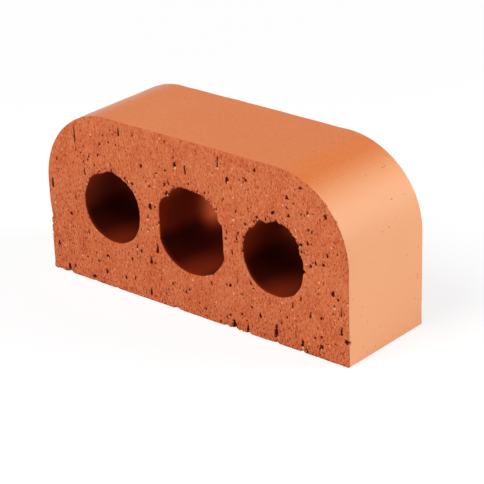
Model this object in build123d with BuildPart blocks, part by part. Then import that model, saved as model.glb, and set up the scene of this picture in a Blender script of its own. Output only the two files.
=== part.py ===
"""Double bullnose clay brick: one extruded, wire-cut and fired piece with three through perforations.

Frame: the origin is the centre of the underside, +X runs along the length, +Y from the front cut face to the
back one, which is the way the clay was extruded, and +Z is up. The brick stands on its plain long edge.
All sizes are in millimetres.
"""

import os

from build123d import *

# Work size of the standard format
length = 215.0
height = 102.5
thickness = 65.0

# Section that the die gives the clay column
bullnose_radius = 47.5
foot_corner_radius = 1.5

# Perforations left by the die's three cores, all on one line along the brick
perforation_line_height = 49.8
perforation_pitch = 57.8
outer_core_diameter = 42.0
middle_core_diameter = 49.6
middle_core_across_flats = 45.4

# Arrises that the cutting wire leaves round both cut faces
cut_arris_radius = 0.7
rim_arris_chamfer = 0.4

# Die section: a plain foot with small corners, and a bullnose at each end of the upper edge
with BuildSketch(Plane.XZ) as column_section:
    Rectangle(length, height, align=(Align.CENTER, Align.MIN))
    upper_corners = column_section.vertices().group_by(Axis.Y)[-1]
    fillet(upper_corners, bullnose_radius)
    foot_corners = column_section.vertices().group_by(Axis.Y)[0]
    fillet(foot_corners, foot_corner_radius)

# Outer cores: plain round bars, one on each side of the middle
with BuildSketch(Plane.XZ) as outer_cores:
    with Locations(
        (-perforation_pitch, perforation_line_height),
        (perforation_pitch, perforation_line_height),
    ):
        Circle(outer_core_diameter / 2)

# Middle core: a larger round bar with a flat milled on each side, which keeps the webs beside it thick
with BuildSketch(Plane.XZ) as middle_core:
    with Locations((0, perforation_line_height)):
        Circle(middle_core_diameter / 2)
        Rectangle(middle_core_across_flats, middle_core_diameter, mode=Mode.INTERSECT)

# The clay column, cut to the brick's thickness by two wires
with BuildPart() as brick:
    extrude(column_section.sketch, amount=thickness / 2, both=True)
    extrude(outer_cores.sketch, amount=thickness / 2, both=True, mode=Mode.SUBTRACT)
    extrude(middle_core.sketch, amount=thickness / 2, both=True, mode=Mode.SUBTRACT)

    # Outer arris of each cut face, a little rounded by drying and firing
    cut_faces = brick.faces().filter_by(Axis.Y).sort_by(Axis.Y)
    outer_arrises = [edge for face in cut_faces for edge in face.outer_wire().edges()]
    fillet(outer_arrises, cut_arris_radius)

    # Rim of each perforation, where the clay crumbles a little
    cut_faces = brick.faces().filter_by(Axis.Y).sort_by(Axis.Y)
    rims = [edge for face in cut_faces for wire in face.inner_wires() for edge in wire.edges()]
    chamfer(rims, rim_arris_chamfer)

brick.part.label = "bullnose_brick"
os.makedirs("parts", exist_ok=True)
export_step(brick.part, "parts/bullnose_brick.step")
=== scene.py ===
"""Double bullnose clay brick: one fired piece with torn cut faces, smooth die skin and three perforations.

The brick stands on its plain long edge on the floor. X runs along its length, Y from the front cut face to
the back one, and Z up. The clay is shaped in millimetres and handed to Blender in metres.
"""

import math

import bpy
import numpy as np
from mathutils import Matrix, Vector
from mathutils.geometry import delaunay_2d_cdt


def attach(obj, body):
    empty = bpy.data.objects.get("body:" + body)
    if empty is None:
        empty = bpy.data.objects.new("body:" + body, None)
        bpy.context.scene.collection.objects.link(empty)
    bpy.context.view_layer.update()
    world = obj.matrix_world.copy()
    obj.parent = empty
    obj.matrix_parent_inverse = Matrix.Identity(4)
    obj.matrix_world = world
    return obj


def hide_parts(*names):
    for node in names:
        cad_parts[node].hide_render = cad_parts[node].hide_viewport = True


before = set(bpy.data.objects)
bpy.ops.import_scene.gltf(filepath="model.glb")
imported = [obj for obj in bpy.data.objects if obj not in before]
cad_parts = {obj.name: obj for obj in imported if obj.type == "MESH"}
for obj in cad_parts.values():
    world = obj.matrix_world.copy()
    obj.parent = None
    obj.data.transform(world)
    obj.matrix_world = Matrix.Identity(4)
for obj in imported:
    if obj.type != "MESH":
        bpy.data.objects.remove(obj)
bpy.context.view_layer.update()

# Where the picture is taken from: a long lens, a little above the brick and round towards its right end.
# Angles, distance and lens come from fits to the brick's outline and perforation rims, then evened out.
view_azimuth = math.radians(40.745)
view_elevation = math.radians(24.013)
view_roll = math.radians(-1.895)
view_distance = 1.177457
aim_point = Vector((0.0, 0.0, 0.050))
aim_right = -0.007116
aim_up = 0.016189
lens_mm = 159.08
sensor_mm = 36.0

backward = Vector(
    (
        math.sin(view_azimuth) * math.cos(view_elevation),
        -math.cos(view_azimuth) * math.cos(view_elevation),
        math.sin(view_elevation),
    )
)
level_right = Vector((math.cos(view_azimuth), math.sin(view_azimuth), 0.0))
level_up = backward.cross(level_right)
picture_right = level_right * math.cos(view_roll) + level_up * math.sin(view_roll)
picture_up = level_up * math.cos(view_roll) - level_right * math.sin(view_roll)

camera_data = bpy.data.cameras.new("camera")
camera_data.lens = lens_mm
camera_data.sensor_width = sensor_mm
camera_data.clip_start = 0.05
camera_data.clip_end = 30.0
camera = bpy.data.objects.new("camera", camera_data)
camera_place = aim_point + view_distance * backward - aim_right * picture_right - aim_up * picture_up
camera_turn = Matrix((picture_right, picture_up, backward)).transposed().to_4x4()
camera.matrix_world = Matrix.Translation(camera_place) @ camera_turn
bpy.context.scene.collection.objects.link(camera)
bpy.context.scene.camera = camera


# Plain white studio floor under the brick, and the white room round it. The floor keeps the brick's soft
# shadow. Lens and sheen see both as white, and the clay gets what white paper and a dim room throw back.
class Shade:
    """One socket of a material. Arithmetic on it adds Math nodes, and node() adds any other kind."""

    def __init__(self, tree, socket=None):
        self.tree = tree
        self.socket = socket

    def node(self, kind, settings, sockets, output=0):
        """Adds a node, makes its settings, then its sockets' values or links, and gives back one output."""
        made = self.tree.nodes.new(kind)
        for name, value in settings.items():
            setattr(made, name, value)
        for name, value in sockets.items():
            if isinstance(value, Shade):
                self.tree.links.new(value.socket, made.inputs[name])
            else:
                made.inputs[name].default_value = value
        return Shade(self.tree, made.outputs[output] if made.outputs else None)

    def math(self, operation, other, reflected=False):
        """A Math node on this value and another one, or reflected, on the other one and this."""
        first, second = (other, self) if reflected else (self, other)
        return self.node("ShaderNodeMath", {"operation": operation}, {0: first, 1: second})

    def __add__(self, other):
        return self.math("ADD", other)

    def __radd__(self, other):
        return self.math("ADD", other, reflected=True)

    def __sub__(self, other):
        return self.math("SUBTRACT", other)

    def __rsub__(self, other):
        return self.math("SUBTRACT", other, reflected=True)

    def __mul__(self, other):
        return self.math("MULTIPLY", other)

    def __rmul__(self, other):
        return self.math("MULTIPLY", other, reflected=True)

    def rise(self, low, high):
        """0 below low, 1 above high, and a smooth climb between them."""
        return self.node(
            "ShaderNodeMapRange",
            {"interpolation_type": "SMOOTHSTEP"},
            {"Value": self, "From Min": low, "From Max": high},
        )


def blank_shade(owner):
    """The emptied node tree of a material or world, ready for new nodes."""
    owner.use_nodes = True
    owner.node_tree.nodes.clear()
    return Shade(owner.node_tree)


def unlit_rays(shade):
    """1 for rays that look at a thing, from the lens, a sheen or glass, and 0 for rays that light it."""
    kinds = ("Is Camera Ray", "Is Glossy Ray", "Is Transmission Ray")
    to_lens, to_sheen, to_glass = [shade.node("ShaderNodeLightPath", {}, {}, kind) for kind in kinds]
    return to_lens + to_sheen + to_glass


floor_reach = 6.0
floor_bounce_colour = (0.88, 0.88, 0.88, 1.0)
floor_shadow_colour = (0.26, 0.26, 0.26, 1.0)
floor_glow_strength = 0.78
paper_fade = (0.15, 0.80)
room_light_colour = (0.97, 0.985, 1.0, 1.0)
room_light_strength = 0.10

floor_mesh = bpy.data.meshes.new("studio_floor")
floor_corners = np.array([(-1, -1, 0), (1, -1, 0), (1, 1, 0), (-1, 1, 0)]) * floor_reach
floor_mesh.from_pydata(floor_corners.tolist(), [], [(0, 1, 2, 3)])
studio_floor = bpy.data.objects.new("studio_floor", floor_mesh)
bpy.context.scene.collection.objects.link(studio_floor)

floor_paint = bpy.data.materials.new("white_floor")
paper = blank_shade(floor_paint)
bounce = paper.node("ShaderNodeBsdfDiffuse", {}, {"Color": floor_bounce_colour})
shadowed = paper.node("ShaderNodeBsdfDiffuse", {}, {"Color": floor_shadow_colour})
glow = paper.node("ShaderNodeEmission", {}, {"Strength": floor_glow_strength})
near_paper = paper.node("ShaderNodeAddShader", {}, {0: shadowed, 1: glow})
far_paper = paper.node("ShaderNodeEmission", {}, {"Strength": 1.0})
on_floor = paper.node("ShaderNodeTexCoord", {}, {}, "Object")
away = paper.node("ShaderNodeVectorMath", {"operation": "LENGTH"}, {0: on_floor}, "Value")
fading = away.rise(*paper_fade)
white_paper = paper.node("ShaderNodeMixShader", {}, {0: fading, 1: near_paper, 2: far_paper})
floor_look = paper.node("ShaderNodeMixShader", {}, {0: unlit_rays(paper), 1: bounce, 2: white_paper})
paper.node("ShaderNodeOutputMaterial", {}, {"Surface": floor_look})
floor_mesh.materials.append(floor_paint)

room = bpy.data.worlds.new("white_room")
bpy.context.scene.world = room
air = blank_shade(room)
room_light = air.node(
    "ShaderNodeBackground", {}, {"Color": room_light_colour, "Strength": room_light_strength}
)
room_white = air.node("ShaderNodeBackground", {}, {"Color": (1.0, 1.0, 1.0, 1.0), "Strength": 1.0})
room_look = air.node("ShaderNodeMixShader", {}, {0: unlit_rays(air), 1: room_light, 2: room_white})
air.node("ShaderNodeOutputWorld", {}, {"Surface": room_look})
bpy.context.scene.view_settings.view_transform = "Standard"

# Lamps of the studio: a large softbox high above the front, and a key softbox behind the right end. Both
# face the middle of the brick, and the white floor throws much of their light back on its front.
softboxes = {
    "overhead_softbox": {"place": (-0.31, -1.04, 1.36), "width": 1.00, "power": 25.0},
    "key_softbox": {"place": (1.28, 0.90, 0.71), "width": 0.90, "power": 20.5},
}
for name, softbox in softboxes.items():
    lamp_data = bpy.data.lights.new(name, "AREA")
    lamp_data.shape = "SQUARE"
    lamp_data.size = softbox["width"]
    lamp_data.energy = softbox["power"]
    lamp = bpy.data.objects.new(name, lamp_data)
    lamp_place = Vector(softbox["place"])
    lamp.location = lamp_place
    lamp.rotation_euler = (lamp_place - aim_point).to_track_quat("Z", "Y").to_euler()
    bpy.context.scene.collection.objects.link(lamp)

# The clay column as the die shapes it: a plain foot, upright ends and a bullnose at each end of the upper
# edge. The section is the same all through the thickness, and both cut faces are square to it.
length = 215.0
height = 102.5
thickness = 65.0
bullnose_radius = 47.5
foot_radius = 1.5
seed_of_clay = 11


def inside_section(x, z):
    """How deep each point lies inside the die section, and the way out to the nearest point of its outline.

    The section is a box with rounded corners. With p the offset from the corner circle's centre towards the
    corner, the depth is radius - |max(p, 0)| - min(max(px, pz), 0). The upper half has the larger radius.
    """
    radius = np.where(z > height / 2, bullnose_radius, foot_radius)
    px = np.abs(x) - length / 2 + radius
    pz = np.abs(z - height / 2) - height / 2 + radius
    round_x = np.maximum(px, 0.0)
    round_z = np.maximum(pz, 0.0)
    depth = radius - np.hypot(round_x, round_z) - np.minimum(np.maximum(px, pz), 0.0)
    flat = (px <= 0) & (pz <= 0)
    way_x = np.where(flat, px > pz, round_x)
    way_z = np.where(flat, px <= pz, round_z)
    reach = np.hypot(way_x, way_z)
    return depth, np.sign(x) * way_x / reach, np.sign(z - height / 2) * way_z / reach


def evenly(path, count):
    """A count of points spaced evenly along a closed path from its first one, and the path's length."""
    closed = np.vstack((path, path[:1]))
    run = np.concatenate(([0.0], np.cumsum(np.linalg.norm(np.diff(closed, axis=0), axis=1))))
    stations = np.linspace(0.0, run[-1], count, endpoint=False)
    points = np.stack([np.interp(stations, run, closed[:, i]) for i in (0, 1)], axis=1)
    return points, run[-1]


def arc(centre_x, centre_z, radius, start, end):
    """Points of an arc, its angles in degrees from the X axis towards the Z axis."""
    point_count = 240
    turn = np.radians(np.linspace(start, end, point_count))
    return np.stack((centre_x + radius * np.cos(turn), centre_z + radius * np.sin(turn)), axis=1)


def ripple(x, y, z, wavelength, seed):
    """Smooth noise of about -1 to 1: the sum of waves in random directions, all near one wavelength."""
    waves = 22
    dice = np.random.default_rng(seed)
    heading = dice.normal(size=(waves, 3))
    heading /= np.linalg.norm(heading, axis=1, keepdims=True)
    pace = 2 * np.pi / (wavelength * dice.uniform(0.7, 1.5, waves))
    start = dice.uniform(0, 2 * np.pi, waves)
    total = np.zeros(np.shape(x))
    for (hx, hy, hz), beat, phase in zip(heading, pace, start):
        total += np.cos(beat * (hx * x + hy * y + hz * z) + phase)
    return total / math.sqrt(2 * waves)


half_length = length / 2
bullnose_x = half_length - bullnose_radius
bullnose_z = height - bullnose_radius
foot_x = half_length - foot_radius
section_path = np.vstack(
    (
        [[0.0, 0.0]],
        arc(foot_x, foot_radius, foot_radius, -90, 0),
        arc(bullnose_x, bullnose_z, bullnose_radius, 0, 90),
        arc(-bullnose_x, bullnose_z, bullnose_radius, 90, 180),
        arc(-foot_x, foot_radius, foot_radius, 180, 270),
    )
)
column_count = 988
outline, outline_run = evenly(section_path, column_count)
_, out_x, out_z = inside_section(outline[:, 0], outline[:, 1])

# Perforations, left by three cores in the die: plain round bars on the outside, and a larger round bar with
# a flat on each side in the middle. Their walls are as smooth as the skin, and darker by firing and by
# painted shade.
# A core is (centre, radius, half the distance between flats, points round its rim). The outer ones have no
# flats, so theirs lie outside the bar.
perforation_line = 49.8
perforation_pitch = 57.8
outer_core_radius = 21.0
middle_core_radius = 24.8
middle_core_half_flats = 22.7
outer_rim_count = 204
middle_rim_count = 230
cores = (
    (-perforation_pitch, outer_core_radius, 2 * outer_core_radius, outer_rim_count),
    (0.0, middle_core_radius, middle_core_half_flats, middle_rim_count),
    (perforation_pitch, outer_core_radius, 2 * outer_core_radius, outer_rim_count),
)


def outside_core(x, z, core):
    """How far outside one core's bar each point lies, and the way there from the bar's axis.

    A bar is a circle cut by two flats: the distance is the larger of r - radius and |x| - half flats.
    """
    centre, radius, half_flats, _ = core
    dx = x - centre
    dz = z - perforation_line
    r = np.maximum(np.hypot(dx, dz), 1e-9)
    past_flat = np.abs(dx) - half_flats
    by_flat = past_flat > r - radius
    way_x = np.where(by_flat, np.sign(dx), dx / r)
    way_z = np.where(by_flat, 0.0, dz / r)
    return np.maximum(r - radius, past_flat), way_x, way_z


def outside_cores(x, z):
    """How far outside the nearest core each point lies."""
    return np.min([outside_core(x, z, core)[0] for core in cores], axis=0)


def core_ring(core, spread):
    """A ring of points round a core, this spread outside its bar, at the same angles for every spread.

    At each angle the ring's radius is the smaller of the bar's and half flats / |cos(angle)|.
    """
    centre, radius, half_flats, count = core
    direction_count = 1440
    turn = np.radians(np.linspace(0, 360, direction_count, endpoint=False))
    reach = np.minimum(radius, half_flats / np.maximum(np.abs(np.cos(turn)), 1e-9))
    ring, _ = evenly(np.stack((reach * np.cos(turn), reach * np.sin(turn)), axis=1), count)
    angle = np.arctan2(ring[:, 1], ring[:, 0])
    wide = np.minimum(radius + spread, (half_flats + spread) / np.maximum(np.abs(np.cos(angle)), 1e-9))
    return centre + wide * np.cos(angle), perforation_line + wide * np.sin(angle)


# Torn marks of the cutting wire. It goes down through the soft clay, catches grains of grog and drags them,
# which leaves upright tears that widen downwards, often with the pale grain still sitting in the lower end.
# A tear is (x, z of its upper end, length, width, depth), and a grog tear adds the radius of its grain. The
# front's large ones are listed one by one, and its small ones and the back's are scattered.
front_tears = (
    (-84.1, 94.0, 11.5, 1.2, 1.8),
    (-83.6, 82.4, 5.0, 0.9, 1.3),
    (-50.2, 99.3, 5.4, 1.5, 1.8),
    (-39.7, 98.9, 3.0, 0.9, 0.9),
    (-56.3, 96.9, 1.3, 1.1, 0.9),
    (-62.0, 92.9, 1.4, 1.3, 1.0),
    (-58.0, 89.6, 1.6, 1.3, 1.0),
    (-52.7, 89.2, 1.5, 1.2, 1.1),
    (-34.1, 81.3, 2.2, 2.0, 1.8),
    (-21.6, 93.4, 1.3, 1.5, 0.9),
    (-2.2, 88.9, 6.2, 1.5, 1.6),
    (-16.6, 82.6, 1.5, 1.3, 1.2),
    (-18.0, 74.8, 1.8, 1.7, 1.4),
    (-31.3, 73.2, 2.2, 1.0, 1.1),
    (-41.6, 69.0, 1.8, 1.6, 1.3),
    (-61.8, 80.8, 1.6, 1.2, 0.7),
    (-73.5, 78.3, 2.4, 1.0, 1.2),
    (-70.2, 73.6, 1.8, 1.3, 1.2),
    (-57.4, 77.0, 2.6, 1.1, 1.0),
    (-66.6, 70.9, 1.2, 1.6, 1.0),
    (-99.3, 71.2, 3.0, 1.0, 1.2),
    (-98.9, 64.3, 3.4, 0.9, 0.9),
    (-103.9, 56.8, 6.2, 1.9, 2.0),
    (-77.8, 69.6, 5.2, 1.3, 1.4),
    (-86.2, 51.8, 4.8, 1.4, 1.4),
    (-90.2, 56.6, 1.2, 1.0, 0.8),
    (-90.5, 38.8, 2.2, 2.6, 1.6),
    (-101.2, 35.6, 1.8, 2.0, 0.5),
    (-77.4, 31.0, 2.0, 1.2, 1.0),
    (-80.6, 29.6, 1.4, 1.0, 1.0),
    (-72.7, 25.8, 1.0, 2.2, 0.6),
    (-102.2, 18.3, 2.8, 2.0, 1.2),
    (-70.8, 14.6, 1.6, 2.4, 1.3),
    (-64.8, 10.6, 3.2, 1.7, 1.5),
    (-79.9, 14.5, 1.2, 1.8, 0.9),
    (-92.7, 14.6, 1.4, 1.2, 0.7),
    (-94.7, 6.2, 4.4, 2.2, 2.0),
    (-90.2, 6.8, 2.6, 1.4, 1.2),
    (-74.9, 3.9, 1.8, 3.2, 1.6),
    (-50.3, 10.4, 2.6, 1.6, 1.1),
    (-28.7, 59.4, 3.6, 2.6, 1.7),
    (-25.1, 36.4, 6.2, 2.2, 1.8),
    (-30.1, 27.6, 5.2, 2.2, 1.6),
    (-40.6, 27.2, 2.0, 1.0, 1.0),
    (-27.2, 24.6, 1.2, 1.1, 1.1),
    (-31.3, 8.6, 5.8, 1.6, 1.3),
    (-4.9, 14.6, 3.0, 1.4, 1.2),
    (-2.4, 15.4, 1.4, 1.2, 1.1),
    (40.2, 94.1, 1.2, 1.0, 0.9),
    (48.7, 88.8, 1.8, 1.0, 1.0),
    (67.7, 88.0, 2.2, 2.4, 1.4),
    (67.5, 81.9, 1.6, 1.5, 1.1),
    (68.5, 77.8, 2.0, 1.7, 1.2),
    (58.0, 77.2, 2.4, 2.6, 1.3),
    (61.8, 91.8, 1.6, 1.0, 0.7),
    (76.6, 95.4, 2.0, 3.0, 0.8),
    (92.8, 83.4, 2.6, 2.2, 1.6),
    (77.0, 80.6, 1.6, 1.1, 1.1),
    (79.3, 80.2, 1.4, 1.0, 0.9),
    (14.1, 80.4, 5.0, 0.8, 0.7),
    (24.1, 76.0, 1.4, 1.1, 1.0),
    (41.3, 75.0, 1.4, 1.2, 1.0),
    (32.8, 71.8, 2.8, 1.3, 1.1),
    (38.7, 65.8, 2.0, 1.4, 1.2),
    (25.8, 58.2, 3.0, 1.4, 1.2),
    (37.2, 57.8, 1.8, 2.0, 1.3),
    (36.6, 54.0, 1.3, 1.2, 1.1),
    (83.7, 65.4, 1.3, 1.1, 0.7),
    (91.3, 55.8, 2.0, 1.9, 1.3),
    (100.3, 63.8, 1.4, 1.0, 1.0),
    (97.4, 41.8, 3.2, 2.6, 1.5),
    (100.3, 38.4, 1.5, 1.6, 1.2),
    (102.4, 34.6, 6.6, 0.8, 1.2),
    (102.7, 23.0, 5.4, 1.8, 1.9),
    (89.3, 24.8, 1.8, 1.6, 1.2),
    (82.0, 26.2, 4.4, 1.2, 1.1),
    (75.3, 32.6, 2.4, 1.7, 1.1),
    (54.7, 27.0, 5.0, 0.7, 0.9),
    (42.0, 32.4, 2.2, 1.9, 1.2),
    (32.2, 36.8, 10.4, 0.7, 0.7),
    (27.4, 26.8, 2.4, 2.2, 1.6),
    (24.5, 26.4, 1.8, 1.5, 0.9),
    (13.7, 25.6, 3.4, 1.1, 1.0),
    (35.5, 23.2, 1.2, 1.4, 1.1),
    (66.2, 18.6, 1.8, 1.3, 1.0),
    (47.7, 14.9, 3.0, 1.6, 1.3),
    (34.9, 11.5, 1.8, 1.6, 1.2),
    (62.0, 14.2, 1.8, 1.4, 1.1),
    (72.0, 13.6, 7.0, 0.7, 1.1),
    (38.7, 6.2, 5.0, 1.8, 1.7),
    (29.5, 5.6, 5.4, 3.4, 2.4),
    (50.3, 4.6, 3.2, 0.9, 1.2),
    (89.1, 13.9, 1.8, 1.6, 1.1),
    (26.6, 8.8, 1.8, 1.7, 1.1),
    (79.5, 3.0, 2.4, 1.4, 1.2),
    (105.6, 16.4, 3.2, 2.4, 1.5),
)
front_grog_tears = (
    (-64.9, 87.0, 2.6, 1.8, 1.2, 0.5),
    (-9.3, 88.6, 4.6, 2.8, 1.5, 1.0),
    (-17.0, 70.8, 3.2, 3.0, 1.3, 0.8),
    (-24.5, 77.8, 3.8, 0.8, 0.8, 0.5),
    (-28.7, 70.6, 2.6, 1.3, 1.0, 0.5),
    (-66.3, 80.2, 2.6, 2.2, 0.9, 0.6),
    (-77.0, 62.6, 3.8, 1.3, 0.8, 0.7),
    (-63.7, 19.5, 2.6, 2.6, 1.4, 0.6),
    (-31.0, 52.8, 4.6, 1.4, 1.2, 0.9),
    (-31.3, 43.8, 2.4, 1.4, 1.3, 0.6),
    (-23.5, 50.2, 2.8, 1.8, 1.2, 0.7),
    (-40.3, 32.6, 4.2, 1.5, 1.3, 0.7),
    (21.2, 99.8, 8.6, 1.2, 1.7, 0.8),
    (27.6, 88.9, 4.2, 2.3, 2.0, 0.8),
    (40.2, 84.6, 1.6, 1.4, 0.8, 0.5),
    (47.4, 71.8, 2.2, 2.4, 1.2, 0.6),
    (31.0, 66.4, 2.4, 2.0, 0.8, 1.0),
    (76.6, 63.6, 2.8, 2.8, 1.4, 0.6),
    (98.3, 34.4, 3.2, 2.4, 0.8, 0.9),
    (69.8, 29.9, 7.0, 1.3, 1.2, 0.7),
    (43.7, 28.8, 1.8, 1.5, 0.8, 0.6),
    (58.7, 12.2, 9.0, 2.7, 2.2, 0.6),
    (76.2, 8.2, 6.4, 2.4, 2.1, 1.0),
    (88.7, 8.4, 3.6, 2.8, 1.4, 0.7),
)
front_marks = (*((*tear, 0.0) for tear in front_tears), *front_grog_tears)
mark_chance = 0.16
crown_crowding = 0.8
crown_reach = 5.0
foot_crowding = 0.35
foot_reach = 9.0
mark_arris_gap = 2.2
mark_rim_gap = 1.6
least_mark_width = 0.65
mark_width_spread = 1.1
grain_chance = 0.16
grain_share = 0.42


def scattered_marks(count, seed, longest):
    """Random marks on a cut face, crowded above the perforations' crowns and along the foot.

    The chance of a mark is mark_chance, with more at a crown and at the foot, which fades exponentially
    over their reach. A mark's length is its width * (1 + up to longest), and few are wide or long.
    """
    dice = np.random.default_rng(seed)
    tries = count * 30
    x = dice.uniform(-half_length + 2, half_length - 2, tries)
    z = dice.uniform(1.5, height - 2, tries)
    depth, _, _ = inside_section(x, z)
    past = outside_cores(x, z)
    crown = np.exp(-np.maximum(past, 0) / crown_reach) * (z > perforation_line)
    foot = np.exp(-z / foot_reach)
    chance = mark_chance + crown_crowding * crown + foot_crowding * foot
    kept = (depth > mark_arris_gap) & (past > mark_rim_gap) & (dice.uniform(0, 1, tries) < chance)
    x, z = x[kept][:count], z[kept][:count]
    width = least_mark_width + mark_width_spread * dice.uniform(0, 1, len(x)) ** 3
    stretch = 1.0 + longest * dice.uniform(0, 1, len(x)) ** 5
    deep = width * dice.uniform(0.55, 0.95, len(x))
    grain = np.where(dice.uniform(0, 1, len(x)) < grain_chance, grain_share * width, 0.0)
    return np.stack((x, z + width * stretch / 2, width * stretch, width, deep, grain), axis=1)


front_pits = scattered_marks(190, seed_of_clay + 1, 1.5)
back_tears = scattered_marks(60, seed_of_clay + 2, 7.0)
back_pits = scattered_marks(250, seed_of_clay + 3, 2.5)
face_marks = {-1: np.vstack((front_marks, front_pits)), 1: np.vstack((back_tears, back_pits))}
tear_slimness = 0.38
pit_slimness = 0.8


def torn(x, z, side):
    """Depth of the wire's marks at points of one cut face, and how much each point lies on a pale grain.

    Along a mark v runs from 0 at its upper end to 1 at its lower end, and u from -1 to 1 across it. It is
    depth * (0.4 + 0.6 v) * (1 - u**4) deep inside a ragged edge, and its half width grows with v, from the
    slimness's share of the full one. A grain is a dome that fills the lower end again.
    """
    ragged = ripple(x, 0 * x, z, 1.3, seed_of_clay + 4 + side)
    ragged += ripple(x, 0 * x, z, 0.7, seed_of_clay + 5 + side)
    lumpy = ripple(x, 0 * x, z, 0.8, seed_of_clay + 7 + side)
    deepest = np.zeros(x.shape)
    pale = np.zeros(x.shape)
    for mark_x, top, long, wide, deep, grain in face_marks[side]:
        beside = np.abs(x - mark_x) < wide + 1
        along = np.abs(z - top + long / 2) < long / 2 + 1
        near = np.flatnonzero(beside & along)
        v = (top - z[near]) / long
        slim = tear_slimness if long > 2 * wide else pit_slimness
        taper = np.sqrt(np.clip(1 - (2 * np.clip(v, 0, 1) - 1) ** 4, 0, 1))
        half = wide / 2 * (slim + (1 - slim) * np.clip(v, 0, 1)) * taper * (1 + 0.35 * ragged[near])
        lean = 0.12 * wide * np.sin(3.1 * v + mark_x)
        u = (x[near] - mark_x - lean) / np.maximum(half, 1e-6)
        inside = (np.abs(u) < 1) & (v > 0) & (v < 1)
        hollow_and_shade = deep * (0.4 + 0.6 * v) * (1 - u**4) * (0.85 + 0.2 * lumpy[near]) * inside
        if grain > 0:
            seat = np.hypot(x[near] - mark_x, z[near] - (top - long + grain * 0.8)) / grain
            dome = np.sqrt(np.clip(1 - seat**2, 0, 1))
            hollow_and_shade = hollow_and_shade * (1 - 0.9 * dome)
            pale[near] = np.maximum(pale[near], np.clip(1.6 - 1.6 * seat, 0, 1))
        deepest[near] = np.maximum(deepest[near], hollow_and_shade)
    return deepest, pale


# Broken arrises. The wire enters at the top and leaves at the foot and at each perforation's crown, where
# it pulls crumbs off the edge. A chip is (x, z, half width, depth), a bevel broken off the arris there.
# The front's larger ones are set from the photograph, and the rest are scattered.
arris_wear = 0.22
foot_wear = 0.9
foot_chip_chance = 0.9
skin_chip_chance = 0.07
skin_chip_scale = 0.5
outline_chip_half_widths = (0.7, 2.8)
rim_chip_half_widths = (0.5, 2.1)
front_chips = (
    (93.3, 89.5, 3.2, 0.9),
    (98.4, 80.2, 2.4, 1.1),
    (107.4, 14.6, 1.8, 1.5),
    (29.0, 0.0, 3.0, 2.4),
    (33.5, 0.0, 1.6, 1.1),
    (-13.0, 0.0, 2.6, 1.2),
    (58.2, 0.0, 2.2, 1.6),
    (76.0, 0.0, 1.8, 1.3),
    (-94.5, 0.0, 3.4, 1.5),
    (-102.5, 0.0, 4.0, 0.8),
    (-75.0, 0.0, 2.2, 1.0),
    (39.0, 0.0, 1.6, 1.2),
    (-107.4, 27.5, 1.3, 0.9),
    (-107.4, 33.0, 2.2, 0.9),
    (-107.4, 22.0, 1.0, 0.8),
    (-104.0, 75.5, 1.5, 0.7),
    (-89.0, 92.5, 1.6, 0.6),
)


def scattered_chips(count, seed):
    """Random chips along the section's outline, most of them along the foot, as rows like the front's."""
    dice = np.random.default_rng(seed)
    spot = dice.integers(0, column_count, count * 4)
    x, z = outline[spot].T
    kept = dice.uniform(0, 1, count * 4) < np.where(z < 1, foot_chip_chance, skin_chip_chance)
    x, z = x[kept][:count], z[kept][:count]
    half = dice.uniform(*outline_chip_half_widths, len(x)) * np.where(z < 1, 1.0, skin_chip_scale)
    deep = half * dice.uniform(0.25, 0.6, len(x))
    return np.stack((x, z, half, deep), axis=1)


def crown_chips(seed):
    """Random chips along the perforations' rims, thick on the crowns and thin elsewhere.

    The chance that a chip stays is 0.10, and 0.55 more in step with its height above the perforation line.
    """
    dice = np.random.default_rng(seed)
    tries = 90
    rows = []
    for core in cores:
        ring_x, ring_z = core_ring(core, 0.0)
        spot = dice.integers(0, len(ring_x), tries)
        x, z = ring_x[spot], ring_z[spot]
        high = (z - perforation_line) / core[1]
        kept = dice.uniform(0, 1, len(x)) < 0.10 + 0.55 * np.clip(high, 0, 1)
        x, z = x[kept], z[kept]
        half = dice.uniform(*rim_chip_half_widths, len(x))
        rows.append(np.stack((x, z, half, half * dice.uniform(0.3, 0.75, len(x))), axis=1))
    return np.vstack(rows)


outline_chips = {
    -1: np.vstack((front_chips, scattered_chips(13, seed_of_clay + 20))),
    1: scattered_chips(46, seed_of_clay + 21),
}
rim_chips = {-1: crown_chips(seed_of_clay + 22), 1: crown_chips(seed_of_clay + 23)}

# Rims of the perforations, which the wire's drag left out of round. Each face has lobes for each core, as
# (angle in degrees, widening, spread in degrees), and the wear says how crumbly each rim is. The front's
# lobes are set to radii measured in the photograph, and the back's are made up.
rim_wear = {-1: (0.45, 1.0, 0.9), 1: (1.0, 0.7, 0.8)}
rim_lobes = {
    -1: (
        (
            (112, -1.3, 13), (62, -0.7, 18), (155, -0.7, 10), (222, 0.9, 28), (305, 0.4, 45),
            (0, -0.9, 32),
        ),
        (
            (131, -1.9, 9), (108, 0.5, 7), (85, -1.2, 12), (52, -0.4, 12), (30, -1.9, 9),
            (240, 0.7, 30), (312, 0.9, 34),
        ),
        (
            (24, -1.6, 11), (70, 0.3, 12), (101, -1.6, 9), (134, -1.4, 16), (165, -0.4, 10),
            (240, 1.1, 30), (300, 1.2, 34), (0, -1.3, 28),
        ),
    ),
    1: (
        ((70, -1.1, 14), (104, -0.7, 9), (130, -0.6, 12), (250, 0.7, 36), (330, 0.5, 26)),
        (
            (48, -1.5, 10), (90, -0.8, 14), (120, 0.4, 9), (142, -1.4, 9), (220, 0.7, 30),
            (300, 0.6, 30),
        ),
        ((95, -1.2, 20), (35, -0.9, 12), (140, -0.6, 10), (200, 0.5, 26), (280, 0.9, 34)),
    ),
}


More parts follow.
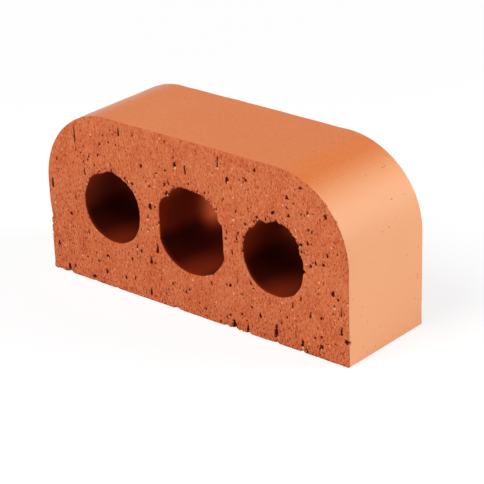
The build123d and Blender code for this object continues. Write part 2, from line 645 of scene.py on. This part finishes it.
def chipped(x, z, side, chips, wear):
    """How deep the arris is broken at points on it: by the wear, or by the deepest chip that reaches them.

    A chip's depth falls from its middle as 1 - (distance / half width)**2, and its edge is ragged.
    """
    rough = ripple(x, 0 * x, z, 1.3, seed_of_clay + 30 + side)
    broken = wear * (1 + 0.7 * rough)
    for chip_x, chip_z, half, deep in chips[side]:
        near = np.flatnonzero((np.abs(x - chip_x) < half) & (np.abs(z - chip_z) < half))
        away = np.hypot(x[near] - chip_x, z[near] - chip_z) / half
        bite = deep * np.clip(1 - away**2, 0, 1) * (1 + 0.4 * rough[near])
        broken[near] = np.maximum(broken[near], bite)
    return np.maximum(broken, 0.0)


def rim_widening(x, y, z, angle, above, side, number):
    """How far the rim of one perforation stands outside its core, before chips come off it.

    It is the sum of the lobes, each its widening * exp(-(angle from its middle / spread)**2), and of a low
    ripple, with a quicker one above the core's middle in step with the rim's wear.
    """
    widen = np.zeros(angle.shape)
    for middle, amount, spread in rim_lobes[side][number]:
        away = (angle - middle + 180) % 360 - 180
        widen += amount * np.exp(-((away / spread) ** 2))
    widen += 0.16 * ripple(x, y, z, 7.0, seed_of_clay + 53)
    return widen + 0.32 * rim_wear[side][number] * above * ripple(x, y, z, 3.2, seed_of_clay + 55)


# Slump of the die skin. The soft clay sinks in a little as it dries, on the ends and along the top. The two
# shallow dents low on the left end are set to its outline as measured in the photograph.
skin_slump = 0.14
left_dent_width = 12.0
foot_dent_depth = 0.75
foot_dent_height = 22.0
side_dent_depth = 0.7
side_dent_middle = 35.0
side_dent_height = 5.0
deepest_slump = 1.6


def end_recess(x, y, z):
    """How far the skin of the ends and the top sinks in from the die's section by drying.

    It is the slump with a slow and a quicker ripple, and low on the left end the sum of two bell-shaped
    dents. The lowest 4 mm run out to nothing, because the brick stands on its foot.
    """
    slump = skin_slump + 0.2 * ripple(x, y, z, 60.0, seed_of_clay + 40)
    slump += 0.08 * ripple(x, y, z, 14.0, seed_of_clay + 41)
    left = np.exp(-(((x + half_length) / left_dent_width) ** 2))
    dent = foot_dent_depth * np.exp(-((z / foot_dent_height) ** 2))
    dent += side_dent_depth * np.exp(-(((z - side_dent_middle) / side_dent_height) ** 2))
    return np.clip(slump * (1 - 0.8 * left) + left * dent, 0.0, deepest_slump) * np.clip(z / 4, 0, 1)


# Wear of the whole body. The cut faces are not quite flat, and tears, slump, broken arrises and crumbled
# rims are laid over the plain column together, and fade out behind their surface. A break's painted shade,
# darker where it is pushed deeper, is (rise for each mm that it is pushed, what is taken off that, the
# most).
face_drift = 0.16
drift_wavelength = 70.0
drift_fade = 6.0
slump_fade = 7.0
tear_layer = 0.7
arris_reach = 5.0
arris_slope = 0.75
arris_painted_shade = (0.5, 0.2, 0.6)
rim_reach = 9.0
rim_slope = 0.8
rim_painted_shade = (0.6, 0.15, 0.8)
widening_fade = 4.5
widening_depth = 11.0
wall_tolerance = 0.1
crumb_size = 1.5
foot_crumb_fade = 10.0
crown_crumb_fade = 5.0


def weathered(x, y, z):
    """Moves points of the plain column into the shape that cutting, drying, firing and handling leave.

    Each point has an inset from the section's outline, a depth behind the nearer cut face and a distance
    past each core. It moves in from the outline by slump and bevel, away from each core by widening and
    bevel, and in from the cut face by drift, tears and bevels. Gives the moved points and their masks of
    raw clay, painted shade in hollows, grain, bore and crumbs.
    """
    side = np.where(y < 0, -1, 1)
    depth = thickness / 2 - np.abs(y)
    inset, way_x, way_z = inside_section(x, z)
    edge_x = x + inset * way_x
    edge_z = z + inset * way_z
    crumbly = ripple(x, y, z, crumb_size, seed_of_clay + 50)
    on_face = np.clip(1 - depth / tear_layer, 0, 1)
    raw = np.clip(1.4 - 2.2 * depth, 0, 1)
    hollow_and_shade, grain, bore = np.zeros((3, *x.shape))
    crumbs = 0.25 + 0.6 * np.exp(-np.maximum(z, 0) / foot_crumb_fade)

    # Drift of the cut faces and slump of the skin
    drift = np.maximum(1 + ripple(x, side * 40.0, z, drift_wavelength, seed_of_clay + 51), 0)
    into = face_drift * drift * np.clip(1 - depth / drift_fade, 0, 1)
    back_in = end_recess(edge_x, y, edge_z) * np.exp(-np.maximum(inset, 0) / slump_fade)
    move_x = -way_x * back_in
    move_z = -way_z * back_in

    def break_off(near, gap, to_x, to_z, breaks, slope, painted_shade, widen=0.0):
        """Pushes points near a broken edge back onto its bevel, where the clay is raw, with painted shade
        where deep.

        With h = gap * cos(slope) + depth * sin(slope), points are pushed where h is less than the break.
        """
        h = gap * np.cos(slope) + depth[near] * np.sin(slope)
        push = np.maximum(breaks - h, 0.0)
        move_x[near] += to_x * (push * np.cos(slope) + widen)
        move_z[near] += to_z * (push * np.cos(slope) + widen)
        into[near] += push * np.sin(slope)
        raw[near] = np.maximum(raw[near], np.clip(push * 4 - 0.4, 0, 1))
        rate, start, most = painted_shade
        hollow_and_shade[near] = np.maximum(hollow_and_shade[near], np.clip(push * rate - start, 0, most))

    for this_side in (-1, 1):
        here = np.flatnonzero(side == this_side)

        # Tears in the cut face
        near = here[depth[here] < tear_layer]
        marks, pale = torn(x[near], z[near], this_side)
        into[near] += marks * on_face[near]
        # Painted shade in the tears, darker where they are deeper
        hollow_and_shade[near] = np.clip(marks / 1.1, 0, 1) * on_face[near]
        grain[near] = pale * on_face[near]

        # The outer arris, worn most at the foot
        near = here[(depth[here] < arris_reach) & (inset[here] < arris_reach)]
        wear = arris_wear * (0.75 + foot_wear * np.clip(-way_z[near], 0, 1))
        breaks = chipped(edge_x[near], edge_z[near], this_side, outline_chips, wear)
        breaks *= 1 + 0.3 * crumbly[near]
        slope = arris_slope + 0.3 * ripple(edge_x[near], 0 * near, edge_z[near], 9.0, seed_of_clay + 52)
        break_off(near, inset[near], -way_x[near], -way_z[near], breaks, slope, arris_painted_shade)

        # The perforations: their rims crumble most at the crown
        for number, core in enumerate(cores):
            past, to_x, to_z = outside_core(x, z, core)
            near = here[past[here] < rim_reach]
            past, to_x, to_z = past[near], to_x[near], to_z[near]
            rim_x = x[near] - past * to_x
            rim_z = z[near] - past * to_z
            angle = np.degrees(np.arctan2(rim_z - perforation_line, rim_x - core[0])) % 360
            above = np.clip(np.sin(np.radians(angle)) + 0.1, 0, 1)
            crown_crumbs = 1.1 * above * np.exp(-np.maximum(past, 0) / crown_crumb_fade)
            crumbs[near] = np.maximum(crumbs[near], crown_crumbs)
            widen = rim_widening(rim_x, y[near], rim_z, angle, above, this_side, number)
            widen *= np.exp(-np.maximum(past, 0) / widening_fade)
            widen *= 0.25 + 0.75 * np.exp(-depth[near] / widening_depth)

            crown = np.clip((rim_z - perforation_line) / core[1] + 0.15, 0, 1)
            fray = 0.16 + 0.55 * crown * np.clip(0.6 + crumbly[near], 0, 2)
            breaks = chipped(rim_x, rim_z, this_side, rim_chips, fray) * rim_wear[this_side][number]
            slope = rim_slope + 0.3 * ripple(rim_x, 0 * near, rim_z, 5.0, seed_of_clay + 54)
            break_off(near, past, to_x, to_z, breaks, slope, rim_painted_shade, widen)
            wall = near[past < wall_tolerance]
            bore[wall] = np.clip(depth[wall] * 2 - 0.2, 0, 1)

    moved = np.stack((x + move_x, side * (thickness / 2 - depth - into), z + move_z), axis=1)
    return moved, np.stack((raw, hollow_and_shade, grain, bore, crumbs), axis=1)


# The body of clay, laid out as one closed sheet of points before it is weathered. Rows of points go round
# the outline's arrises and down each perforation, and triangles fill the rest, small where it bends most.
arris_round = 0.7
arris_turn = np.radians(np.linspace(0, 90, 5))
arris_insets = np.concatenate(([1.25, 0.95], arris_round * (1 - np.sin(arris_turn)), [0.0, 0.0]))
arris_depths = np.concatenate(([0.0, 0.0], arris_round * (1 - np.cos(arris_turn)), [1.0, 1.4]))
rim_spreads = np.array([1.2, 0.8, 0.4, 0.2, 0.0])
rim_depths = np.array([0.0, 0.0, 0.0, 0.2, 0.4])
wall_depths = np.array([0.85, 1.5, 2.5, 4.0, 6.5, 11.0, 18.0, 26.0])

# Each sheet of clay also has its place on a square map for painting: its left edge, its lower edge and
# whether it stands on its end. The skin is laid in two halves, the second one above the first.
map_width = 370.0
front_place = (109.5, 2.0, False)
back_place = (109.5, 107.0, False)
bore_places = ((220.0, 2.0, True), (290.0, 2.0, True), (220.0, 157.0, False))
skin_place = (2.0, 229.0, False)
skin_shift = 72.0

points = []
faces = []
corners = []


def add_points(x, y, z):
    """Adds points of the plain column and gives back their numbers, in the shape of x."""
    x, y, z = np.broadcast_arrays(x, y, z)
    numbers = sum(map(len, points)) + np.arange(x.size).reshape(x.shape)
    points.append(np.stack((x.ravel(), y.ravel(), z.ravel()), axis=1))
    return numbers


def add_cells(numbers, spots, cells, place, flip):
    """Adds triangles through numbered points, with the places of their corners on the map."""
    cells = cells if flip else cells[:, ::-1]
    left, low, upright = place
    laid = spots[cells]
    if place is skin_place:
        second = laid[:, :, 0].mean(axis=1) > outline_run / 2
        laid[second] += (-outline_run / 2, skin_shift)
    if upright:
        laid = laid[:, :, ::-1]
    faces.append(numbers[cells])
    corners.append((laid + (left, low)) / map_width)


def add_strips(rows, along, across, place, flip):
    """Triangles between neighbouring rows of closed rings, two to each cell."""
    closed = np.hstack((rows, rows[:, :1]))
    spots = np.stack(np.meshgrid(along, across), axis=-1).reshape(-1, 2)
    grid = np.arange(closed.size).reshape(closed.shape)
    a, b, c, d = grid[:-1, :-1], grid[:-1, 1:], grid[1:, 1:], grid[1:, :-1]
    cells = np.stack((a, b, c, a, c, d), axis=-1).reshape(-1, 3)
    add_cells(closed.ravel(), spots, cells, place, flip)


def fill(numbers, flat, rings, keep, place, flip):
    """Triangles through points of a flat pattern, with closed rings of them as edges, where keep() allows.

    flat holds the pattern's points, rings the runs of their indices that form edges, and numbers the points
    of the body that they stand for. Blender's Delaunay method joins them.
    """
    same_place = 1e-6
    spots = list(map(Vector, flat.tolist()))
    edges = [pair for ring in rings for pair in zip(ring, ring[1:])]
    _, _, cells, origin, _, _ = delaunay_2d_cdt(spots, edges, [], 0, same_place)
    first = np.array([names[0] for names in origin])
    cells = first[np.array(cells)]
    middle = flat[cells].mean(axis=1)
    cells = cells[keep(middle[:, 0], middle[:, 1])]
    a, b, c = flat[cells].transpose(1, 2, 0)
    turn = (b[0] - a[0]) * (c[1] - a[1]) - (b[1] - a[1]) * (c[0] - a[0])
    cells[turn < 0] = cells[turn < 0][:, ::-1]
    add_cells(numbers, flat, cells, place, flip)


def bending(shape, grid):
    """How much a grid of weathered points bends at each of them: the largest second difference near it."""
    sheet = shape.reshape(*grid, 3)
    bend = np.zeros(grid)
    bend[1:-1] = np.linalg.norm(sheet[2:] - 2 * sheet[1:-1] + sheet[:-2], axis=2)
    across = np.linalg.norm(sheet[:, 2:] - 2 * sheet[:, 1:-1] + sheet[:, :-2], axis=2)
    bend[:, 1:-1] = np.maximum(bend[:, 1:-1], across)
    for axis in (0, 1):
        bend = np.maximum(bend, np.maximum(np.roll(bend, 1, axis), np.roll(bend, -1, axis)))
    return bend


least_bend = 0.01


def chosen(grid, bend, near_edge, budget):
    """Which points of a fine grid to keep, so that about budget of them lie where it bends most.

    It keeps all of those, each second one where it bends half as much or an edge is near, and each fourth.
    """
    row, column = np.indices(grid)
    keep = (row % 4 == 0) & (column % 4 == 0)
    keep |= (row % 2 == 0) & (column % 2 == 0) & near_edge
    limit = max(np.partition(bend.ravel(), -budget)[-budget], least_bend)
    keep |= bend > limit
    keep |= (row % 2 == 0) & (column % 2 == 0) & (bend > limit * 0.5)
    return keep


around = np.arange(column_count + 1) * outline_run / column_count
skin_start = arris_depths[-1]
arris_run = np.append(0, np.cumsum(np.hypot(np.diff(arris_insets), np.diff(arris_depths))))
arris_bands = {}
for side in (-1, 1):
    level = side * (thickness / 2 - arris_depths[:, None])
    band = add_points(
        outline[:, 0] - arris_insets[:, None] * out_x,
        level,
        outline[:, 1] - arris_insets[:, None] * out_z,
    )
    across = skin_start - arris_run[-1] + arris_run
    if side > 0:
        across = thickness - across
    add_strips(band, around, across, skin_place, flip=side > 0)
    arris_bands[side] = band

wall_rings = []
for core, place in zip(cores, bore_places):
    rings = [np.stack(core_ring(core, spread)) for spread in np.append(rim_spreads, 0 * wall_depths)]
    ring_x, ring_z = np.stack(rings, axis=1)
    depths = np.append(rim_depths, wall_depths)
    both_x = np.vstack((ring_x, ring_x[::-1]))
    both_z = np.vstack((ring_z, ring_z[::-1]))
    level = np.concatenate((depths - thickness / 2, thickness / 2 - depths[::-1]))
    wall = add_points(both_x, level[:, None], both_z)
    across = np.append(0, np.cumsum(np.hypot(np.diff(both_x[:, 0]), np.diff(level))))
    along = np.linspace(0, 2 * math.pi * core[1], core[3] + 1)
    add_strips(wall, along, across, place, flip=True)
    wall_rings.append(wall)

fine_step = 0.42
jitter = 0.07
face_budget = 9000
edge_margin = 0.25
edge_clearance = 0.3
edge_reach = 3.0
arris_slack = 0.06
rim_slack = 0.02


def on_clay(x, z):
    """Whether the middles of triangles lie on a cut face, between the arris rows and the rims' rows."""
    inset, _, _ = inside_section(x, z)
    past = outside_cores(x, z)
    return (inset > arris_insets[0] - arris_slack) & (past > rim_spreads[0] + rim_slack)


for side in (-1, 1):
    row_z = np.arange(fine_step, height, fine_step)
    row_x = np.arange(-half_length + fine_step, half_length, fine_step)
    x, z = np.meshgrid(row_x, row_z)
    dice = np.random.default_rng(seed_of_clay + 60 + side)
    x = x + dice.uniform(-jitter, jitter, x.shape)
    z = z + dice.uniform(-jitter, jitter, z.shape)
    inset, _, _ = inside_section(x, z)
    past = outside_cores(x, z)
    shape, _ = weathered(x.ravel(), np.full(x.size, side * thickness / 2), z.ravel())
    bend = bending(shape, x.shape)
    edge_gap = np.minimum(inset - arris_insets[0], past - rim_spreads[0])
    bend[edge_gap < edge_margin] = 0
    keep = chosen(x.shape, bend, edge_gap < edge_reach, face_budget) & (edge_gap > edge_clearance)
    inner = add_points(x[keep], side * thickness / 2, z[keep])
    numbers = [arris_bands[side][0]] + [wall[0 if side < 0 else -1] for wall in wall_rings] + [inner]
    loops = []
    start = 0
    for ring in numbers[:-1]:
        loops.append([*range(start, start + len(ring)), start])
        start += len(ring)
    numbers = np.concatenate(numbers)
    flat = np.concatenate(points)[numbers][:, [0, 2]]
    fill(numbers, flat, loops, on_clay, front_place if side < 0 else back_place, flip=side < 0)

skin_step = 0.8
skin_budget = 1500
skin_edge_reach = 2.5
seam_step = 2.6
rows_s = np.arange(skin_step, outline_run - skin_step / 2, skin_step)
rows_t = np.arange(skin_start + skin_step, thickness - skin_start - skin_step / 2, skin_step)
s, t = np.meshgrid(rows_s, rows_t)


def on_skin(s, t):
    """The column's plain skin: s runs round the outline from the middle of the foot, and t through it."""
    x = np.interp(s, around, np.append(outline[:, 0], outline[0, 0]))
    z = np.interp(s, around, np.append(outline[:, 1], outline[0, 1]))
    depth, way_x, way_z = inside_section(x, z)
    return x + depth * way_x, t - thickness / 2, z + depth * way_z


def everywhere(s, t):
    """Keeps all triangles of the skin."""
    return np.ones(s.shape, bool)


shape, _ = weathered(*(v.ravel() for v in on_skin(s, t)))
bend = bending(shape, s.shape)
edge_gap = np.minimum(t - skin_start, thickness - skin_start - t)
keep = chosen(s.shape, bend, edge_gap < skin_edge_reach, skin_budget)
inner = add_points(*on_skin(s[keep], t[keep]))
seam_t = np.arange(skin_start + 1.5, thickness - skin_start - 1, seam_step)
seam = add_points(*on_skin(0 * seam_t, seam_t))
front_ring, back_ring = arris_bands[-1][-1], arris_bands[1][-1]
flat_s = [around, np.full(len(seam), outline_run)]
flat_t = [np.full(column_count + 1, skin_start), seam_t]
flat_s += [around[::-1], np.zeros(len(seam))]
flat_t += [np.full(column_count + 1, thickness - skin_start), seam_t[::-1]]
numbers = np.concatenate(
    (front_ring, front_ring[:1], seam, np.append(back_ring, back_ring[0])[::-1], seam[::-1], inner)
)
flat = np.stack((np.concatenate(flat_s + [s[keep]]), np.concatenate(flat_t + [t[keep]])), axis=1)
border = len(flat) - len(inner)
fill(numbers, flat, [[*range(border), 0]], everywhere, skin_place, flip=False)

millimetre = 0.001
body = np.concatenate(points)
cells = np.concatenate(faces)
shape, masks = weathered(*body.T)

brick_mesh = bpy.data.meshes.new("fired_clay_brick")
brick_mesh.from_pydata((shape * millimetre).tolist(), [], cells.tolist())
brick_mesh.polygons.foreach_set("use_smooth", np.ones(len(cells), bool))
for name, values in zip(("raw_clay", "hollow_and_shade", "grain", "bore", "crumbs"), masks.T):
    attribute = brick_mesh.attributes.new(name, "FLOAT", "POINT")
    attribute.data.foreach_set("value", values.astype(np.float32))
brick_map = brick_mesh.uv_layers.new(name="OFBake")
brick_map.uv.foreach_set("vector", np.concatenate(corners).ravel().astype(np.float32))
brick_mesh.update()
brick = bpy.data.objects.new("fired_clay_brick", brick_mesh)
bpy.context.scene.collection.objects.link(brick)
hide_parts("bullnose_brick")
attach(brick, "root")

# Fired clay. Its iron burns to orange red, and the die leaves its skin a slight sheen. Its paler ends are
# painted highlight. The cut faces are dull, with sand, pores and pale grog. The bores are darkest, partly
# painted shade.
clay = bpy.data.materials.new("fired_red_clay")
fired = blank_shade(clay)
in_clay = fired.node("ShaderNodeTexCoord", {}, {}, "Object")


def mask(name):
    """One of the brick's own point values."""
    return fired.node("ShaderNodeAttribute", {"attribute_name": name}, {}, "Fac")


def mottle(size, stretch=(1, 1, 1), detail=2.0, shift=0.0):
    """Cloudy noise with blotches of about this size in millimetres, drawn out along the axes by stretch."""
    pace = tuple(1000 / (size * longer) for longer in stretch)
    start = (shift, shift, shift)
    spot = fired.node("ShaderNodeVectorMath", {"operation": "MULTIPLY"}, {0: in_clay, 1: pace}, 0)
    spot = fired.node("ShaderNodeVectorMath", {"operation": "ADD"}, {0: spot, 1: start}, 0)
    return fired.node("ShaderNodeTexNoise", {}, {"Vector": spot, "Scale": 1.0, "Detail": detail}, 0)


def grains(size, low, high):
    """Round specks, 1 in their middles and 0 between them: the Voronoi cells whose own number is high."""
    pace = 1000 / size
    spot = fired.node("ShaderNodeVectorMath", {"operation": "SCALE"}, {0: in_clay, "Scale": pace}, 0)
    gap = fired.node("ShaderNodeTexVoronoi", {}, {"Vector": spot, "Scale": 1.0}, "Distance")
    number = fired.node("ShaderNodeTexVoronoi", {}, {"Vector": spot, "Scale": 1.0}, "Color")
    number = fired.node("ShaderNodeSeparateColor", {}, {"Color": number}, 0)
    return (1.0 - gap.rise(0.12, 0.42)) * number.rise(low, high)


raw = mask("raw_clay")
bore = mask("bore")
crumbs = mask("crumbs")
fine = mottle(0.45, detail=3.0)
sandy = mottle(1.1, (1, 1, 1.6), shift=5.0)
hollow_and_shade = (mask("hollow_and_shade") + (fine - 0.5) * 0.5).rise(0.12, 0.42)
pores = (mottle(0.9, (1, 1, 1.7), 3.0, 9.0) + crumbs * 0.100).rise(0.628, 0.685)
pits_painted_dark = (mottle(1.7, (1, 1, 1.9), 2.0, 21.0) + crumbs * 0.070).rise(0.690, 0.725)

# Where light and shade are painted on the brick, as stretches in metres that a tone rises over: the paler
# ends are a painted highlight, the greyer left end a painted reflection, and in the bores the bright upper
# part at the back is painted light and the dark lower flanks and depths are painted shade. They lie along
# the length from its middle, through the thickness from its middle, or up from the foot.
painted_end_highlight_stretch = (0.076, 0.099)
painted_left_reflection_stretch = (0.062, 0.084)
outer_bore_stretch = (0.026, 0.034)
middle_bore_drop = 0.0035
flank_floor_stretch = (0.025, 0.033)
flank_top_stretch = (0.040, 0.050)
painted_flank_shade_stretch = (-0.0345, -0.0285)
painted_deep_shade_stretch = (-0.030, -0.010)
painted_light_depth_stretch = (-0.004, 0.013)
painted_light_height_stretch = (0.032, 0.045)
lengthways, through, upward = [
    fired.node("ShaderNodeSeparateXYZ", {}, {"Vector": in_clay}, axis) for axis in "XYZ"
]
from_middle = lengthways.math("ABSOLUTE", 0.0)
# Painted highlight: the ends are painted paler, where the lamps light them and sheen on them
painted_end_highlight = from_middle.rise(*painted_end_highlight_stretch)
# Painted reflection: the left end is painted paler and greyer, where it reflects the white room at a
# grazing angle
painted_left_reflection = (0.0 - lengthways).rise(*painted_left_reflection_stretch)
outer = from_middle.rise(*outer_bore_stretch)
bore_height = upward + (1.0 - outer) * middle_bore_drop
flank = bore_height.rise(*flank_floor_stretch) * (1.0 - bore_height.rise(*flank_top_stretch))
# Painted light: the upper bore walls towards the back are painted bright, where the lamp behind the right
# end lights them
painted_bore_light = through.rise(*painted_light_depth_stretch) * bore_height.rise(*painted_light_height_stretch) * (1.0 - outer * 0.75)
# Painted shade: the lower flanks of the bores and their depths are painted dark
painted_flank_shade = through.rise(*painted_flank_shade_stretch) * flank
painted_deep_shade = through.rise(*painted_deep_shade_stretch) * (1.0 - flank) * (0.22 + outer * 0.18)
painted_bore_shade = painted_flank_shade + painted_deep_shade

# Tones of the clay, each a share and a colour that is laid over those before it
skin_colour = (0.685, 0.185, 0.044, 1.0)
skin_tones = (
    # Streaks that the die drew out, broad pale clouds and fine red mottle
    (mottle(1.6, (1, 7, 1)).rise(0.42, 0.75) * 0.22, (0.62, 0.152, 0.042, 1.0)),
    (mottle(26.0, (1, 2, 1), 1.0).rise(0.45, 0.75) * 0.20, (0.73, 0.235, 0.085, 1.0)),
    (mottle(1.4, (1, 2, 1), 3.0, 13.0).rise(0.40, 0.62) * 0.30, (0.61, 0.130, 0.018, 1.0)),
    # Painted highlight: the ends paler, mottled, where the lamp lights them, and a painted reflection that
    # makes the left one greyer
    (painted_end_highlight * 0.90, (0.875, 0.405, 0.195, 1.0)),
    (mottle(2.4, (1, 2, 1), 3.0, 17.0).rise(0.42, 0.66) * painted_end_highlight * 0.20, (0.83, 0.350, 0.150, 1.0)),
    (painted_left_reflection * 0.60, (0.74, 0.375, 0.210, 1.0)),
    # Dark specks
    ((grains(2.2, 0.955, 0.965) + fine - 0.8).rise(0.1, 0.5) * 0.6, (0.42, 0.065, 0.02, 1.0)),
)
cut_face_tones = (
    # Cut clay, clouded, with the dark and pale streaks that the wire dragged down it
    (raw, (0.675, 0.168, 0.063, 1.0)),
    (mottle(9.0, (1, 1, 1.6), 4.0).rise(0.40, 0.66) * raw * 0.55, (0.56, 0.098, 0.030, 1.0)),
    (mottle(1.2, (1, 1, 4), 3.0, 3.0).rise(0.48, 0.72) * raw * 0.60, (0.50, 0.055, 0.014, 1.0)),
    (mottle(0.7, (1, 1, 3), 2.0, 7.0).rise(0.50, 0.70) * raw * 0.85, (0.76, 0.250, 0.115, 1.0)),
    # Sand, pale grog, and pores and pits coloured dark as painted shade in them
    (sandy.rise(0.52, 0.70) * raw * 0.65, (0.76, 0.245, 0.110, 1.0)),
    ((grains(2.1, 0.955, 0.965) + fine - 0.7).rise(0.1, 0.45) * raw * 0.85, (0.92, 0.47, 0.23, 1.0)),
    (pores * raw * 0.85, (0.20, 0.012, 0.003, 1.0)),
    (pits_painted_dark * raw * 0.90, (0.15, 0.009, 0.002, 1.0)),
)
bore_tones = (
    # Dark walls, partly painted shade, painted light on their upper part at the back, and painted shade on
    # their lower flanks and deep inside
    (bore * (1.0 - 0.15 * fine), (0.24, 0.015, 0.002, 1.0)),
    (bore * painted_bore_light * 0.95, (0.78, 0.140, 0.040, 1.0)),
    (bore * painted_bore_shade * (1.0 - painted_bore_light) * 0.92, (0.035, 0.001, 0.0002, 1.0)),
)
tear_tones = (
    # Painted shade in the bottoms of the tears and the broken edges, and the pale grains that sit in some
    # of them
    (hollow_and_shade * 0.95, (0.080, 0.004, 0.001, 1.0)),
    ((mask("grain") + (fine - 0.5) * 0.8).rise(0.20, 0.55), (0.80, 0.39, 0.18, 1.0)),
)
colour = skin_colour
for share, tone in skin_tones + cut_face_tones + bore_tones + tear_tones:
    colour = fired.node("ShaderNodeMix", {"data_type": "RGBA"}, {0: share, 6: colour, 7: tone}, 2)

# Grit stands out of the cut faces, and only a tenth of it shows through the smooth skin
bump_strength = 0.35
bump_height = 0.0003
grit = fine * 0.6 + sandy - pores * 0.8
bumps = fired.node(
    "ShaderNodeBump",
    {},
    {"Strength": bump_strength, "Distance": bump_height, "Height": grit * (raw * 0.9 + 0.1)},
)

# Each finish is its roughness and its sheen
skin_finish = (0.47, 0.26)
torn_finish = (1.0, 0.06)
skin, torn_clay = [
    fired.node(
        "ShaderNodeBsdfPrincipled",
        {},
        {"Base Color": colour, "Roughness": roughness, "Specular IOR Level": sheen, "Normal": bumps},
    )
    for roughness, sheen in (skin_finish, torn_finish)
]
unskinned = (raw + bore).math("MINIMUM", 1.0)
surface = fired.node("ShaderNodeMixShader", {}, {0: unskinned, 1: skin, 2: torn_clay})
fired.node("ShaderNodeOutputMaterial", {}, {"Surface": surface})
brick_mesh.materials.append(clay)
